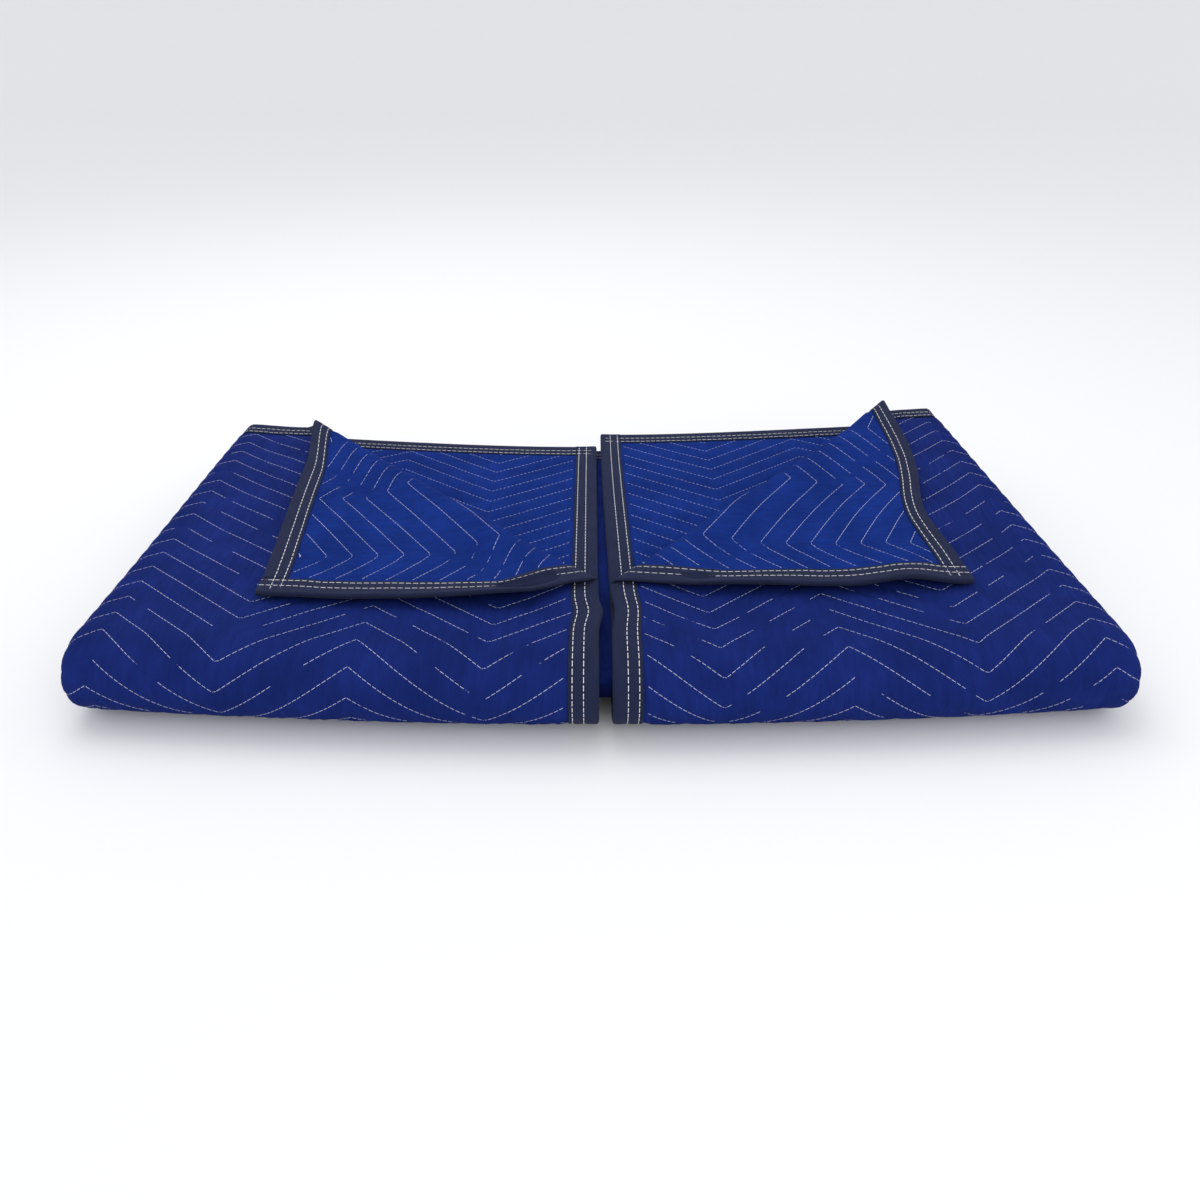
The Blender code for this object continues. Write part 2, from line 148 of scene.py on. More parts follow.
def zigzag(across, first_point):
    """How far along the blanket a zigzag row swings, at a distance from the side edge."""
    phase = abs((across - first_point) / ZIG_HALF) % 2.0
    return ZIG_RISE * (0.5 - (phase if phase <= 1.0 else 2.0 - phase))


def drawn(side, across, v):
    """How much nearer to the side edge the zigzag of the upper half lies than elsewhere."""
    share = max(0.0, 1 - v / DRAWN_ALONG) * min(across / DRAWN_FADE, 1.0)
    return DRAWN[side] * share * (1 - smooth((across - DRAWN_WIDTH) / DRAWN_EASE))


def drawn_across(side, sewn, v):
    """The distance from the side edge of a place that is so far along the zigzag."""
    across = sewn
    for _ in range(6):
        across = sewn - drawn(side, across, v)
    return across


def end_shift(end, u, v):
    """How far back the cloth lies at a place, all of it at the end and none at the middle."""
    lie = END_SHIFT[end][1 if u >= 0 else -1]
    if abs(u) < SIDE_END:
        shift = lie["turn"] * abs(u) / SIDE_END
    else:
        share = (abs(u) - SIDE_END) / (WIDTH / 2 - SIDE_END)
        shift = lie["turn"] + (lie["seam"] - lie["turn"]) * share
    return shift * abs(v - HALF) / HALF


def first_fold(u, v, w):
    """Fold the two ends together with the bright face inside."""
    if v <= HALF - TURN:
        return v - end_shift("outer", u, v), 0.5 * PITCH + w
    if v >= HALF + TURN:
        return LENGTH - v - end_shift("inner", u, v), 1.5 * PITCH - w
    angle = (v - HALF + TURN) / (PITCH / 2)
    radius = PITCH / 2 - w
    return HALF - TURN + radius * math.sin(angle), PITCH - radius * math.cos(angle)


def side_fold(across, along, height):
    """Bring a side over to the middle."""
    if across <= SIDE_START:
        return across, height
    radius = 2 * PITCH - height
    if across < SIDE_END:
        angle = (across - SIDE_START) / SIDE_RADIUS
        return SIDE_START + radius * math.sin(angle), 2 * PITCH - radius * math.cos(angle)
    from_edge = WIDTH / 2 - across
    gap = SEAM_BACK + (SEAM_FRONT - SEAM_BACK) * smooth(along / ROLL_START)
    shift = (gap - SEAM_MEAN) / 2 * smooth(1 - from_edge / SEAM_REACH)
    return from_edge + SEAM_MEAN / 2 + shift, 4 * PITCH - height


def past_crease(side, from_edge, from_end):
    """How far a place lies beyond its corner's crease, and the crease's normal."""
    corner = CORNERS[side]
    span = math.hypot(corner["along_end"], corner["along_side"])
    normal_x = corner["along_side"] / span
    normal_y = corner["along_end"] / span
    crease = corner["along_end"] * corner["along_side"] / span
    return crease - normal_x * from_edge - normal_y * from_end, normal_x, normal_y


def corner_fold(side, x, along, height, from_edge, from_end):
    """Turn the inner corner of the top layer back over its crease."""
    past, normal_x, normal_y = past_crease(side, from_edge, from_end)
    if past <= 0:
        return x, along, height
    layer = 3.5 * PITCH
    offset = height - layer
    turn = math.pi * CREASE_RADIUS
    if past < turn:
        angle = past / CREASE_RADIUS
        radius = CREASE_RADIUS - offset
        beyond = radius * math.sin(angle)
        lift = CREASE_RADIUS - radius * math.cos(angle)
    else:
        beyond = turn - past
        settled = smooth((past - turn) / FLAP_SETTLE)
        lift = 2 * CREASE_RADIUS - offset - (2 * CREASE_RADIUS - FLAP_REST) * settled
        x += CORNERS[side]["out"] * settled
        along += CORNERS[side]["forward"] * settled
        for where, length, reach, rise in EDGE_WAVES[side]:
            hump = math.exp(-((from_end - where) / length) ** 2 - from_edge / reach)
            lift += rise * hump * settled
    if lift > 0:
        near_edge = 1 - smooth(from_edge / PRESSED_WIDTH)
        lift *= 1 - PRESSED[side] * near_edge * (1 - smooth(past / PRESSED_PAST))
    turned = smooth(past / turn)
    bow = math.sin(math.pi * min(from_end / CORNERS[side]["along_end"], 1.0))
    sag = SAG[side] * bow * (1 - smooth(from_edge / SAG_WIDTH))
    along += turned * (SWING[side] * from_end + sag)
    bent = -((from_edge - END_BOW_FROM) / END_BOW_LENGTH) ** 2 - from_end / END_BOW_WIDTH
    x += turned * END_BOW[side] * math.exp(bent)
    move = past - beyond
    return x + normal_x * move, along + normal_y * move, layer + lift


def roll_fold(along, height):
    """Fold the stack over its front roll."""
    if along <= ROLL_START:
        return FRONT + ROLL_START - along, MIDDLE + height
    if along < ROLL_END:
        angle = (along - ROLL_START) / ROLL_RADIUS
        return FRONT - NOSE * height * math.sin(angle), MIDDLE + height * math.cos(angle)
    return FRONT + along - ROLL_END, MIDDLE - height


def unevenness(x, y, z):
    """Bow the bundle forward in the middle and loosen its back corners."""
    back = smooth((y - FRONT) / ROLL_START)
    right = back * smooth((x + LOOSE_FROM) / (HALF_WIDTH + LOOSE_FROM))
    left = back * smooth((-x - LOOSE_FROM) / (HALF_WIDTH - LOOSE_FROM))
    outer = back * smooth((x - DRAWN_FROM) / (HALF_WIDTH - DRAWN_FROM))
    bow = BOW * (1 - (x / HALF_WIDTH) ** 2)
    lift = (RIGHT_RISE * right + LEFT_RISE * left) * min(z / TOP, 1.0) ** 2
    return Vector((x - DRAW_IN * outer, y - bow + BOW / 2 + REACH * right, z * (1 + lift)))


def ripple(u, v):
    """How far the cloth swells from its smooth lie at a place, on both its faces."""
    loose = smooth((abs(u) - SIDE_END) / RIPPLE_EASE) * smooth((ROLL_START - v) / RIPPLE_EASE)
    if loose == 0.0:
        return 0.0
    return RIPPLE * loose * sum(
        share * noise.noise(Vector((u * across, v * along, seed)))
        for across, along, seed, share in SWELLS)


def fold(u, v, w):
    """Carry a point of the flat blanket into the folded bundle."""
    side = 1 if u >= 0 else -1
    from_edge = WIDTH / 2 - abs(u)
    along, height = first_fold(u, v, w)
    x, height = side_fold(abs(u), along, height)
    for where, length, out in SEAM_WAVES[side]:
        swing = math.exp(-((v - where) / length) ** 2)
        x += out * swing * (1 - smooth(from_edge / SEAM_WAVE_REACH))
    lean = SEAM_LEAN * smooth(along / ROLL_START) * smooth(1 - from_edge / SEAM_REACH)
    if abs(u) > SIDE_END and v < ROLL_START:
        x, along, height = corner_fold(side, x, along, height, from_edge, v)
    y, z = roll_fold(along, height)
    return unevenness(side * x + lean, y, z)


TAPE_HALF = 0.0026           # from the cloth's middle to the binding's outer face
nose = fold(-WIDTH / 2, (ROLL_START + ROLL_END) / 2, -TAPE_HALF)
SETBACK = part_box("binding_left")[0][1] - nose.y


def place(u, v, w):
    """A point of the flat blanket in the finished bundle, resting on the floor."""
    point = fold(u, v, w - ripple(u, v))
    point.y += SETBACK
    point.z = max(point.z, 0.0)
    return point


def sewn_shift(side, sewn, v):
    """How far a row lies from a straight line across the blanket, at a place along its zigzag."""
    outer = OUTER[side]["row"] + zigzag(sewn, OUTER[side]["point"])
    inner = -INNER[side]["row"] - zigzag(sewn, INNER[side]["point"])
    change = smooth((v - HALF + ROWS_CHANGE / 2) / ROWS_CHANGE)
    spread = smooth((WIDTH / 2 - sewn - STRAIGHT_MIDDLE) / (SIDE_START - 1.4 * STRAIGHT_MIDDLE))
    return spread * (outer * (1 - change) + inner * change)


def row_shift(u, v):
    """The same at a place on the flat blanket."""
    side = 1 if u >= 0 else -1
    across = WIDTH / 2 - abs(u)
    return sewn_shift(side, across + drawn(side, across, v), v)


ROW_LINES = (0.0, 0.08, 0.24, 0.5, 0.76, 0.92)    # lines of the mesh within one row
ROW_REACH = 0.05                                  # how far a row strays from its own line
SHOWN_ROWS = 19                                   # rows of the inner half that can be seen
COLUMN_STEP = 0.0125
CREASE_MARGIN = 0.03
CREASE_CUTS = 9
TURN_CUTS = 4


def outer_lines():
    """Lines along the blanket before its rows are bent: rows at whole pitches from each end."""
    count = int((HALF + ROW_REACH) / ROW_PITCH)
    return [ROW_PITCH * (row + part) for row in range(-2, count) for part in ROW_LINES]


def inner_lines():
    """The same from the other end, and only every second row where the cloth is hidden."""
    shown = [ROW_PITCH * (row + part) for row in range(-2, SHOWN_ROWS) for part in ROW_LINES]
    last = int((HALF - ROW_REACH) / ROW_PITCH)
    hidden = [ROW_PITCH * row for row in range(SHOWN_ROWS, last, 2)]
    return [LENGTH - line for line in shown + hidden]


def column_lines():
    """Lines across the blanket: on every point of the zigzag, close together at the turns."""
    columns = {}
    for side in (-1, 1):
        turns = [SIDE_START + (SIDE_END - SIDE_START) * i / 14 for i in range(15)]
        coarse = [SIDE_START * share for share in (0.25, 0.5, 0.75, 0.95)]
        edges = [WIDTH / 2 - CUT_BACK, WIDTH / 2 - TAPE_WIDTH, WIDTH / 2 - TAPE_WIDTH - EDGE_BULGE]
        points = []
        for rows in (OUTER, INNER):
            for count in range(-1, 5):
                points.append(WIDTH / 2 - rows[side]["point"] - ZIG_HALF * count)
        sure = [u for u in turns + coarse + edges + points if u <= WIDTH / 2 - CUT_BACK + 1e-6]
        sure = sorted(u for u in sure if u > 0.01)
        spread = []
        for near, far in zip(sure, sure[1:]):
            wanted = COLUMN_STEP if near >= SIDE_END - 1e-6 else 1.0
            parts = max(1, round((far - near) / wanted))
            spread += [near + (far - near) * i / parts for i in range(parts)]
        columns[side] = [side * u for u in spread + [sure[-1]]]
    joined = sorted(columns[-1] + [0.0] + columns[1])
    return [u for u, after in zip(joined, joined[1:] + [9.0]) if after - u > 0.0008]


def flat_grid(columns, lines):
    """A flat grid with its lines where they are wanted."""
    bm = bmesh.new()
    bmesh.ops.create_grid(bm, x_segments=len(columns) - 1, y_segments=len(lines) - 1, size=0.5)
    for vert in bm.verts:
        column = round((vert.co.x + 0.5) * (len(columns) - 1))
        line = round((vert.co.y + 0.5) * (len(lines) - 1))
        vert.co = (columns[column], lines[line], 0.0)
    return bm


def cut(bm, point, normal, geom=None, **clear):
    """Cut a line across the grid, or across part of it, and give back what was cut."""
    if geom is None:
        geom = bm.verts[:] + bm.edges[:] + bm.faces[:]
    return bmesh.ops.bisect_plane(
        bm, geom=geom, dist=1e-6, plane_co=point, plane_no=normal, **clear)["geom"]


def faces_near(bm, chosen):
    """The faces whose centres pass a test, with their edges and corners."""
    faces = [face for face in bm.faces if chosen(face.calc_center_median())]
    edges = dict.fromkeys(edge for face in faces for edge in face.edges)
    verts = dict.fromkeys(vert for face in faces for vert in face.verts)
    return list(verts) + list(edges) + faces


def cut_creases(bm):
    """Lines along both corners' creases, close together where the cloth turns."""
    for side, corner in CORNERS.items():
        def close(centre):
            if side * centre.x < SIDE_END or centre.y > ROLL_START:
                return False
            past, _, _ = past_crease(side, WIDTH / 2 - abs(centre.x), centre.y)
            return -CREASE_MARGIN < past < math.pi * CREASE_RADIUS + CREASE_MARGIN
        geom = faces_near(bm, close)
        span = math.hypot(corner["along_end"], corner["along_side"])
        normal = (side * corner["along_side"] / span, -corner["along_end"] / span, 0)
        crease = corner["along_end"] * corner["along_side"] / span
        for i in range(CREASE_CUTS + 1):
            past = math.pi * CREASE_RADIUS * i / CREASE_CUTS
            reach = (crease - past) / (corner["along_end"] / span)
            geom = cut(bm, (side * WIDTH / 2, reach, 0), normal, geom)


def cloth_half(u, v, row):
    """Half the cloth's thickness: thin on the rows and in the binding, full between the rows."""
    share = 1 - abs(2 * (row % 1.0) - 1)
    plain = ROW_HALF + (CREST_HALF - ROW_HALF) * math.sin(share * math.pi / 2) ** 0.75
    inset = min(WIDTH / 2 - abs(u), v, LENGTH - v)
    return EDGE_HALF + (plain - EDGE_HALF) * smooth((inset - TAPE_WIDTH) / EDGE_BULGE)


def quilted_grid():
    """The flat cloth as a grid that follows its rows, with the lines that the folds need."""
    lines = sorted(outer_lines() + inner_lines())
    lines = [v for v, after in zip(lines, lines[1:] + [9.0]) if after - v > 0.0012]
    bm = flat_grid(column_lines(), lines)
    for vert in bm.verts:
        side = 1 if vert.co.x >= 0 else -1
        sewn = WIDTH / 2 - abs(vert.co.x)
        v = vert.co.y + sewn_shift(side, sewn, vert.co.y)
        vert.co = (side * (WIDTH / 2 - drawn_across(side, sewn, v)), v, 0)
    cut(bm, (0, CUT_BACK, 0), (0, 1, 0), clear_inner=True)
    cut(bm, (0, LENGTH - CUT_BACK, 0), (0, 1, 0), clear_outer=True)
    for v in (TAPE_WIDTH, TAPE_WIDTH + EDGE_BULGE):
        cut(bm, (0, v, 0), (0, 1, 0), faces_near(bm, lambda c: c.y < 0.07))
        cut(bm, (0, LENGTH - v, 0), (0, 1, 0), faces_near(bm, lambda c: c.y > LENGTH - 0.07))
    turn = faces_near(bm, lambda c: abs(c.y - HALF) < 0.04)
    for i in range(-TURN_CUTS, TURN_CUTS + 1):
        turn = cut(bm, (0, HALF + TURN * i / TURN_CUTS, 0), (0, 1, 0), turn)
    cut_creases(bm)
    return bm


def fold_cloth(bm):
    """Give the flat grid its thickness, its two faces and its folds."""
    bmesh.ops.extrude_face_region(bm, geom=bm.faces[:])
    counted = len(bm.verts) // 2
    for index, vert in enumerate(bm.verts):
        u, v = vert.co.x, vert.co.y
        along = v if v < HALF else LENGTH - v
        shift = row_shift(u, v)
        row = (along - (shift if v < HALF else -shift)) / ROW_PITCH
        vert.co.z = cloth_half(u, v, row) * (1 if index >= counted else -1)
    bmesh.ops.recalc_face_normals(bm, faces=bm.faces)
    flat = bm.loops.layers.uv.new("flat")
    sewn = bm.loops.layers.uv.new("sewn")
    for face in bm.faces:
        face.material_index = 1 if face.normal.z > 0.3 else 0
        face.smooth = True
        for loop in face.loops:
            u, v = loop.vert.co.x, loop.vert.co.y
            loop[flat].uv = (u, v)
            loop[sewn].uv = (u, v - row_shift(u, v))
    for vert in bm.verts:
        u, v, w = vert.co
        vert.co = place(u, v, w)
    bmesh.ops.reverse_faces(bm, faces=bm.faces)


def finished(name, bm, *finishes):
    """Make a finished mesh a piece of the bundle."""
    mesh = bpy.data.meshes.new(name)
    bm.to_mesh(mesh)
    bm.free()
    for finish in finishes:
        mesh.materials.append(finish)
    piece = bpy.data.objects.new(name, mesh)
    bpy.context.scene.collection.objects.link(piece)
    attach(piece, "root")
    return piece


def new_material(name, roughness, sheen=0.0, sheen_tint=(1.0, 1.0, 1.0, 1.0)):
    """A matt material, with its nodes, its links and its shader."""
    made = bpy.data.materials.new(name)
    made.use_nodes = True
    nodes, links = made.node_tree.nodes, made.node_tree.links
    shader = nodes["Principled BSDF"]
    shader.inputs["Roughness"].default_value = roughness
    shader.inputs["Specular IOR Level"].default_value = 0.04
    shader.inputs["Sheen Weight"].default_value = sheen
    shader.inputs["Sheen Roughness"].default_value = 0.5
    shader.inputs["Sheen Tint"].default_value = sheen_tint
    return made, nodes, links, shader


def scaled(nodes, links, uv_name, scale):
    """A piece's own coordinates in metres, stretched by a scale."""
    source = nodes.new("ShaderNodeUVMap")
    source.uv_map = uv_name
    mapping = nodes.new("ShaderNodeMapping")
    mapping.inputs["Scale"].default_value = scale
    links.new(source.outputs["UV"], mapping.inputs["Vector"])
    return mapping.outputs["Vector"]


def noisy(nodes, links, vector, detail, low, high):
    """Noise with a scale of one over a vector, from 0 at its low level to 1 at its high one."""
    texture = nodes.new("ShaderNodeTexNoise")
    texture.inputs["Scale"].default_value = 1.0
    texture.inputs["Detail"].default_value = detail
    links.new(vector, texture.inputs["Vector"])
    levels = nodes.new("ShaderNodeMapRange")
    levels.inputs["From Min"].default_value = low
    levels.inputs["From Max"].default_value = high
    links.new(texture.outputs["Fac"], levels.inputs["Value"])
    return levels.outputs["Result"]


def mixed(nodes, links, share, first, second):
    """A colour between two others; either may be a colour or another node's output."""
    mix = nodes.new("ShaderNodeMix")
    mix.data_type = "RGBA"
    links.new(share, mix.inputs["Factor"])
    for socket, value in ((mix.inputs[6], first), (mix.inputs[7], second)):
        if isinstance(value, tuple):
            socket.default_value = value
        else:
            links.new(value, socket)
    return mix.outputs[2]


def bumped(nodes, links, height, distance, under=None):
    """A normal bumped by a height, over another bump if there is one."""
    bump = nodes.new("ShaderNodeBump")
    bump.inputs["Distance"].default_value = distance
    links.new(height, bump.inputs["Height"])
    if under is not None:
        links.new(under, bump.inputs["Normal"])
    return bump.outputs["Normal"]


def cloth_finish(name, deep, bright):
    """Non-woven cloth: fine fibres, a faint cloudiness, puckers across the sewn rows, and painted
    shade in their hollows.
    """
    made, nodes, links, shader = new_material(name, 0.88)
    cloud = noisy(nodes, links, scaled(nodes, links, "flat", (16, 22, 1)), 4, 0.36, 0.66)
    fibre = noisy(nodes, links, scaled(nodes, links, "flat", (900, 1300, 1)), 2, 0.3, 0.7)
    pucker = noisy(nodes, links, scaled(nodes, links, "sewn", (150, 34, 1)), 2, 0.3, 0.7)
    clouded = mixed(nodes, links, cloud, deep, bright)
    darker = tuple(0.72 * part for part in deep[:3]) + (1.0,)
    flecked = mixed(nodes, links, fibre, darker, clouded)
    # Painted shade and light: the pucker hollows keep the darker fibre flecks, and the pucker
    # crests are painted lighter.
    pucker_painted_shade = mixed(nodes, links, pucker, flecked, clouded)
    links.new(pucker_painted_shade, shader.inputs["Base Color"])
    folds = bumped(nodes, links, pucker, 0.0009)
    links.new(bumped(nodes, links, fibre, 0.00018, folds), shader.inputs["Normal"])
    return made


outer_face = cloth_finish("outer cloth", (0.0070, 0.0172, 0.122, 1.0), (0.0098, 0.0235, 0.165, 1.0))
inner_face = cloth_finish("inner cloth", (0.0050, 0.0220, 0.160, 1.0), (0.0070, 0.0300, 0.215, 1.0))
cloth_mesh = quilted_grid()
fold_cloth(cloth_mesh)
cloth = finished("quilted_cloth", cloth_mesh, outer_face, inner_face)
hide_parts("quilt")


# The binding: a one-inch strip of plain-woven polyester tape, folded double over each edge and
# sewn through with two rows of lockstitch. The two side strips run the full length, and the two
# end strips fit between them.
TAPE_THICK = 0.0008
STITCH = 0.0064              # from one needle hole to the next
STITCH_ROWS = (TAPE_WIDTH - 0.0036, TAPE_WIDTH - 0.0128)
GROOVE = 0.00045             # how far the thread pulls the tape in
GROOVE_WIDTH = 0.0014


def tape_surface(inset, along):
    """Half the thickness over the tape at a place: round at its fold, drawn in by each row."""
    half = TAPE_HALF - 0.0003 * smooth((inset - TAPE_WIDTH + 0.002) / 0.002)
    half -= (TAPE_HALF - 0.0006) * (1 - smooth(inset / 0.0016)) ** 2
    half += 0.0003 * noise.noise(Vector((along * 60.0, inset * 90.0, 5.0))) * smooth(inset / 0.004)
    for row in STITCH_ROWS:
        hole = 0.5 + 0.5 * math.cos(2 * math.pi * along / STITCH)
        half -= GROOVE * (0.45 + 0.55 * hole) * math.exp(-((inset - row) / GROOVE_WIDTH) ** 2)
    return half


def tape_profile():
    """Insets from the folded edge, over one face, round the fold and back inside."""
    insets = [TAPE_WIDTH, TAPE_WIDTH - 0.001]
    for row in STITCH_ROWS:
        insets += [row + 0.0013, row, row - 0.0013, row - 0.0045]
    insets += [0.0045, 0.0022, 0.0010, 0.0003]
    over = [(inset, 1) for inset in insets]
    under = [(inset, -1) for inset in reversed(insets)]
    within = [(TAPE_WIDTH, -0.5), (TAPE_THICK, -0.5), (TAPE_THICK, 0.5), (TAPE_WIDTH, 0.5)]
    return over + [(0.0, 0)] + under + within + over[:1]


def tape_mesh(start, end, to_flat):
    """A closed strip of tape, folded over its edge of the cloth and carried through the folds."""
    profile = tape_profile()
    rings = round((end - start) / (STITCH / 2))
    lines = [start + (end - start) * i / rings for i in range(rings + 1)]
    bm = flat_grid(list(range(len(profile))), lines)
    weave = bm.loops.layers.uv.new("weave")
    for face in bm.faces:
        face.smooth = True
        for loop in face.loops:
            loop[weave].uv = (loop.vert.co.y, loop.vert.co.x * 0.0022)
    for vert in bm.verts:
        inset, face = profile[round(vert.co.x)]
        along = vert.co.y
        w = face * tape_surface(inset, along)
        if abs(face) == 0.5:
            w = 2 * face * (TAPE_HALF - TAPE_THICK - 0.0002)
        vert.co = place(*to_flat(inset, along, w))
    bmesh.ops.remove_doubles(bm, verts=bm.verts, dist=0.000002)
    bmesh.ops.holes_fill(bm, edges=[edge for edge in bm.edges if edge.is_boundary], sides=0)
    bmesh.ops.recalc_face_normals(bm, faces=bm.faces)
    return bm


def tape_finish():
    """Plain-woven tape: fine crossing threads, with a painted highlight that makes them a little
    lighter where they rise.
    """
    made, nodes, links, shader = new_material("binding tape", 0.85, 0.04, (0.7, 0.75, 1.0, 1.0))
    across = nodes.new("ShaderNodeTexWave")
    across.inputs["Scale"].default_value = 1.0
    links.new(scaled(nodes, links, "weave", (260, 0, 1)), across.inputs["Vector"])
    along = nodes.new("ShaderNodeTexWave")
    along.inputs["Scale"].default_value = 1.0
    along.bands_direction = "Y"
    links.new(scaled(nodes, links, "weave", (0, 330, 1)), along.inputs["Vector"])
    crossed = nodes.new("ShaderNodeMath")
    crossed.operation = "MULTIPLY"
    links.new(across.outputs["Fac"], crossed.inputs[0])
    links.new(along.outputs["Fac"], crossed.inputs[1])
    worn = noisy(nodes, links, scaled(nodes, links, "weave", (40, 90, 1)), 3, 0.35, 0.7)
    base = mixed(nodes, links, worn, (0.0125, 0.0165, 0.040, 1.0), (0.0165, 0.0215, 0.054, 1.0))
    # Painted highlight: where the crossing threads rise, the colour is mixed towards a lighter
    # blue.
    links.new(mixed(nodes, links, crossed.outputs[0], base, (0.0215, 0.028, 0.066, 1.0)),
              shader.inputs["Base Color"])
    links.new(bumped(nodes, links, crossed.outputs[0], 0.0002), shader.inputs["Normal"])
    return made


tape_cloth = tape_finish()
tapes = []
for node, side in (("binding_left", -1), ("binding_right", 1)):
    mesh = tape_mesh(0.0, LENGTH, lambda inset, v, w: (side * (WIDTH / 2 - inset), v, w))
    tapes.append((finished(node.replace("binding", "tape"), mesh, tape_cloth), node))
between = WIDTH / 2 - TAPE_WIDTH
for node, end in (("binding_outer_end", 0), ("binding_inner_end", 1)):
    mesh = tape_mesh(-between, between,
                     lambda inset, u, w: (u, LENGTH - inset if end else inset, w))
    tapes.append((finished(node.replace("binding", "tape"), mesh, tape_cloth), node))
for tape, node in tapes:
    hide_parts(node)


# The thread: white spun polyester. On the quilting it is fine, and shows as short pale dashes in
# the troughs between the swells; on the binding it is heavier, in longer stitches that sink at
# each needle hole.
STITCH_BLUNT = 0.4           # the power that makes a stitch's ends blunt
STITCH_FLAT = 0.6            # a stitch's height as a share of its width


def stitched(name, spots, finish):
    """Many stitches as one piece, each a small blunt body laid from one hole to the next."""
    bm = bmesh.new()
    bmesh.ops.create_uvsphere(bm, u_segments=4, v_segments=3, radius=1.0)
    for vert in bm.verts:
        vert.co.z = math.copysign(abs(vert.co.z) ** STITCH_BLUNT, vert.co.z)
    for face in bm.faces:
        face.smooth = True
    shape = [vert.co.copy() for vert in bm.verts]
    one = bpy.data.meshes.new("one stitch")
    bm.to_mesh(one)
    for _ in spots[1:]:
        bm.from_mesh(one)
    bpy.data.meshes.remove(one)
    verts = iter(bm.verts)
    for start, end, up, thick in spots:
        run = (end - start) / 2
        up = (up - up.project(run)).normalized()
        beside = run.cross(up).normalized()
        for corner in shape:
            across = corner.x * beside + corner.y * STITCH_FLAT * up
            next(verts).co = (start + end) / 2 + thick * across + corner.z * run
    return finished(name, bm, finish)


def stitch(u0, v0, u1, v1, w, thick):
    """One stitch between two places of the flat blanket, on the face that w gives."""
    sink = math.copysign(abs(w) + 0.15 * thick, w)
    start = place(u0, v0, sink)
    end = place(u1, v1, sink)
    up = place((u0 + u1) / 2, (v0 + v1) / 2, w + math.copysign(0.002, w)) - start
    up -= (end - start) / 2
    return start, end, up, thick


QUILT_STITCH = 0.0050
QUILT_THREAD = 0.00027
SUNK = 0.0005                # how far the thread sinks into the dark face here and there


def row_stitches(rows, side, last, far, share, from_end, shown):
    """The stitches of every row over part of one half of the blanket."""
    slant = math.hypot(1.0, ZIG_RISE / ZIG_HALF)
    step = QUILT_STITCH / slant
    made = []
    for line in range(-2, last):
        for count in range(int(far / step)):
            ends = []
            for sewn in (step * count, step * (count + share)):
                v = rows[side]["row"] + line * ROW_PITCH + zigzag(sewn, rows[side]["point"])
                across = drawn_across(side, sewn, v) if rows is OUTER else sewn
                ends.append((across, v))
            (across, v0), (beyond, v1) = ends
            if min(v0, v1, across) < TAPE_WIDTH + 0.001:
                continue
            w = shown(across, (v0 + v1) / 2)
            if w:
                if w < 0:
                    depth = noise.noise(Vector((across * 26.0, v0 * 34.0, 7.0 * side + 2.0)))
                    w += SUNK * smooth(depth * 5.0 - 1.0)
                u0, u1 = side * (WIDTH / 2 - across), side * (WIDTH / 2 - beyond)
                made.append(stitch(u0, from_end(v0), u1, from_end(v1), w, QUILT_THREAD))
    return made


def outer_shown(side):
    """Which face of the outer half shows at a place: the bright one where its corner is turned."""
    def face(across, v):
        if v > HALF:
            return 0
        past, _, _ = past_crease(side, across, v)
        if past > math.pi * CREASE_RADIUS / 2 and v < ROLL_START:
            return ROW_HALF
        return -ROW_HALF
    return face


def inner_shown(side):
    """The inner half shows only beyond the crease of the corner above it."""
    def face(across, v):
        past, _, _ = past_crease(side, across, v)
        return ROW_HALF if past > -CREASE_MARGIN else 0
    return face


thread, thread_nodes, thread_links, thread_shader = new_material(
    "quilting thread", 0.6, 0.3, (1.0, 1.0, 1.0, 1.0))
# Painted shade: the same white thread as on the binding, coloured darker and bluer here, where it
# lies in the troughs.
thread_shader.inputs["Base Color"].default_value = (0.56, 0.58, 0.76, 1.0)
quilting = []
for side in (-1, 1):
    wrap = WIDTH / 2 - SIDE_START + 0.01
    quilting += row_stitches(OUTER, side, int(HALF / ROW_PITCH) + 2, wrap, 0.86,
                             lambda v: v, outer_shown(side))
    quilting += row_stitches(INNER, side, 18, 0.43, 0.68,
                             lambda v: LENGTH - v, inner_shown(side))
quilting_thread = stitched("quilting_thread", quilting, thread)

BINDING_THREAD = 0.00044
END_STITCHES = 142           # each way from the middle of an end


def tape_stitches(start, end, to_flat):
    """Both rows of stitches on both faces of a tape."""
    made = []
    for row in STITCH_ROWS:
        for count in range(int((end - start) / STITCH)):
            a = start + STITCH * count + 0.0006
            b = a + STITCH - 0.0012
            for face in (-1, 1):
                w = face * (tape_surface(row, (a + b) / 2) - 0.00005)
                u0, v0 = to_flat(row, a)
                u1, v1 = to_flat(row, b)
                made.append(stitch(u0, v0, u1, v1, w, BINDING_THREAD))
    return made


white_thread, _, _, white_shader = new_material(
    "binding thread", 0.6, 0.3, (1.0, 1.0, 1.0, 1.0))
white_shader.inputs["Base Color"].default_value = (0.80, 0.80, 0.82, 1.0)
sewing = []
for side in (-1, 1):
    sewing += tape_stitches(0.0, LENGTH, lambda inset, v: (side * (WIDTH / 2 - inset), v))
for end in (0, 1):
    sewing += tape_stitches(-END_STITCHES * STITCH, END_STITCHES * STITCH,
                            lambda inset, u: (u, LENGTH - inset if end else inset))
binding_thread = stitched("binding_thread", sewing, white_thread)


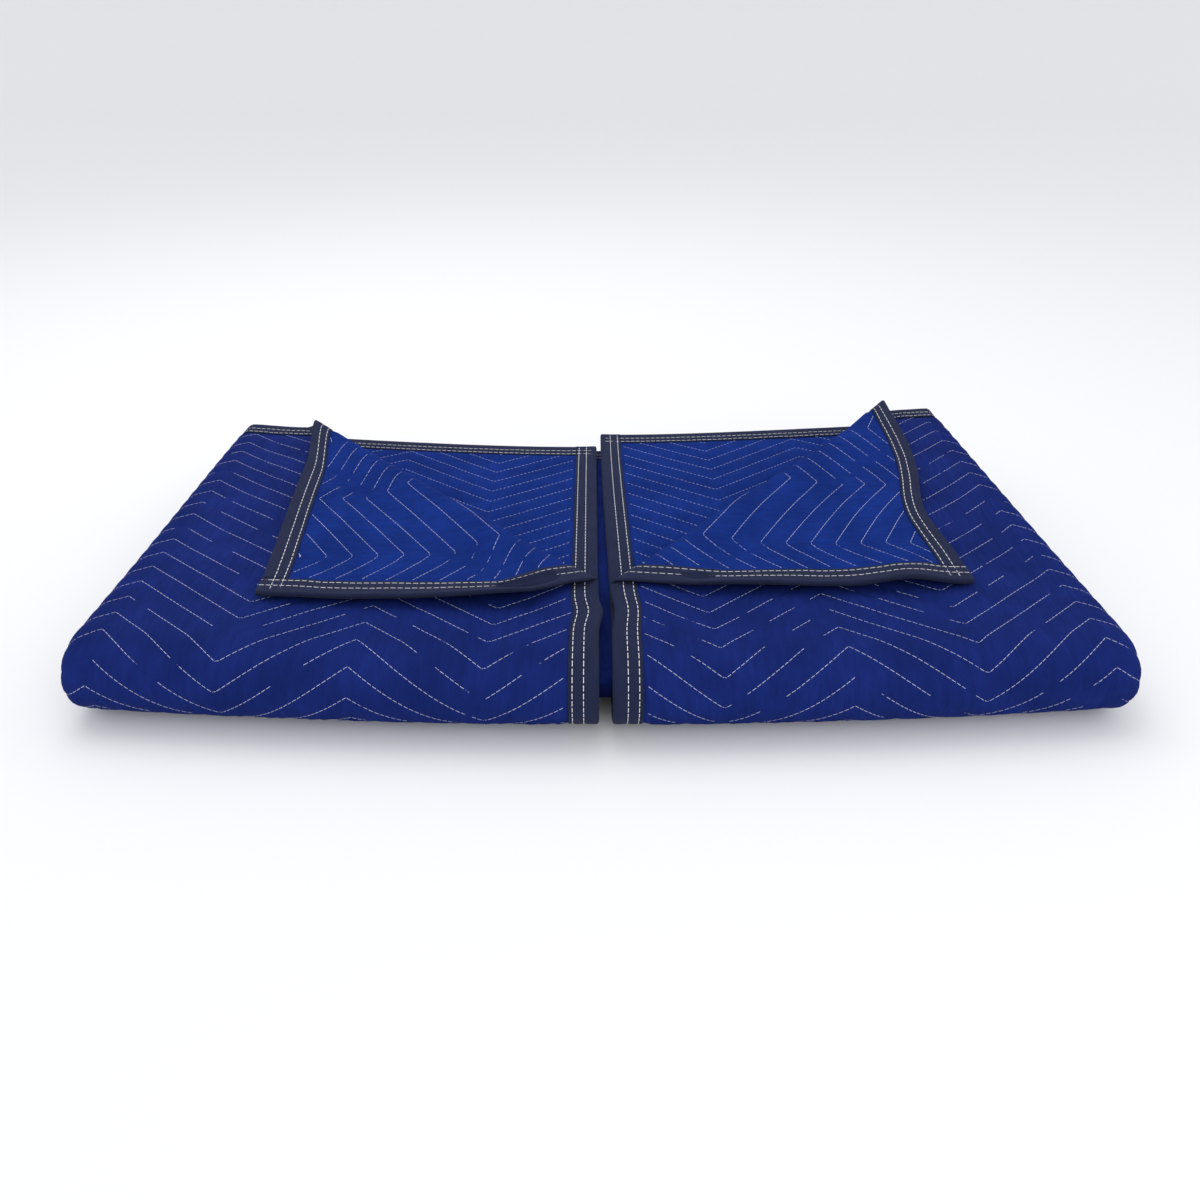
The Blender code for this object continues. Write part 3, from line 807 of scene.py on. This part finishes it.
# The setting: a plain pale floor that curves up at the back, soft light from above and behind,
# and a camera where the photograph was taken from.
FLOOR_HALF = 6.0
FLOOR_CURVE = 2.5
bm = bmesh.new()
bmesh.ops.create_grid(bm, x_segments=1, y_segments=1, size=FLOOR_HALF)
back_edge = [edge for edge in bm.edges if all(vert.co.y > FLOOR_HALF - 0.1 for vert in edge.verts)]
bmesh.ops.spin(bm, geom=back_edge, cent=(0, FLOOR_HALF, FLOOR_CURVE), axis=(1, 0, 0),
               angle=math.radians(88), steps=12)
for face in bm.faces:
    face.smooth = True
bmesh.ops.recalc_face_normals(bm, faces=bm.faces)
floor_mesh = bpy.data.meshes.new("floor")
bm.to_mesh(floor_mesh)
bm.free()
floor_finish = bpy.data.materials.new("pale floor")
floor_finish.use_nodes = True
floor_shader = floor_finish.node_tree.nodes["Principled BSDF"]
floor_shader.inputs["Base Color"].default_value = (0.85, 0.85, 0.85, 1)
floor_shader.inputs["Roughness"].default_value = 0.9
floor_mesh.materials.append(floor_finish)
floor = bpy.data.objects.new("floor", floor_mesh)
floor.location.z = -0.0005   # just under the bundle, so that the two faces don't fight
bpy.context.scene.collection.objects.link(floor)

world = bpy.data.worlds.new("studio")
world.use_nodes = True
background = world.node_tree.nodes["Background"]
background.inputs["Color"].default_value = (0.95, 0.96, 1.0, 1.0)
background.inputs["Strength"].default_value = 0.95
bpy.context.scene.world = world
bpy.context.scene.view_settings.view_transform = "Standard"


def soft_light(name, where, aim, size, power):
    light = bpy.data.lights.new(name, "AREA")
    light.shape = "SQUARE"
    light.size = size
    light.energy = power
    lamp = bpy.data.objects.new(name, light)
    lamp.location = where
    lamp.rotation_euler = (Vector(aim) - Vector(where)).to_track_quat("-Z", "Y").to_euler()
    bpy.context.scene.collection.objects.link(lamp)


soft_light("overhead", (-0.5, 0.7, 2.1), (0, 0, 0), 1.6, 14)
soft_light("fill", (0.9, -1.8, 1.3), (0, 0, 0.05), 1.5, 9)

CAMERA_BACK = 0.4951         # from the front roll's middle to the camera
CAMERA_UP = 0.4156           # from the bundle's top to the camera
CAMERA_DOWN = 34.46
lens = bpy.data.cameras.new("camera")
lens.sensor_width = 36.0
lens.lens = 24.6
lens.shift_x = 0.005
camera = bpy.data.objects.new("camera", lens)
camera.location = (-0.0057, nose.y + SETBACK - CAMERA_BACK, TOP + CAMERA_UP)
camera.rotation_euler = (math.radians(90 - CAMERA_DOWN), 0, 0)
bpy.context.scene.collection.objects.link(camera)
bpy.context.scene.camera = camera
